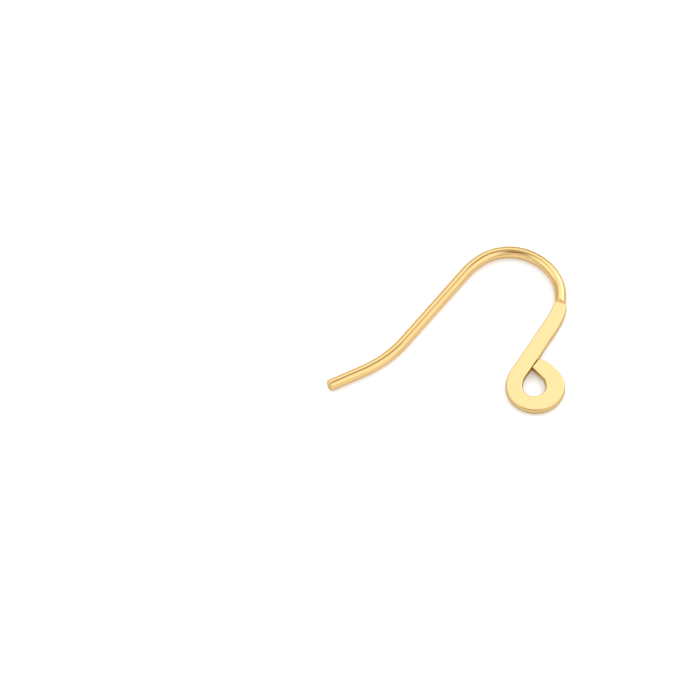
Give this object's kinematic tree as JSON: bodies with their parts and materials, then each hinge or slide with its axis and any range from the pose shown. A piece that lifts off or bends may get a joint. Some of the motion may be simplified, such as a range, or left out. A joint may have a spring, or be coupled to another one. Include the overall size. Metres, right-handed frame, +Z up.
{
  "type": "ear wire",
  "caption": "Open fish-hook ear wire of round wire, with a flattened front strip that coils into a teardrop eye.",
  "frame": {"origin": "on the axis of the eye, at the surface that the ear wire lies on", "axes": "+X towards the outer side of the eye, with the tail pointing to -X; +Y from the eye towards the top of the hook; +Z up, square to the flat faces"},
  "size_m": [0.0179, 0.0149, 0.0009],
  "materials": {
    "gold": "polished gold plating"
  },
  "bodies": {
    "root": {"ear_wire": "gold"}
  },
  "joints": []
}
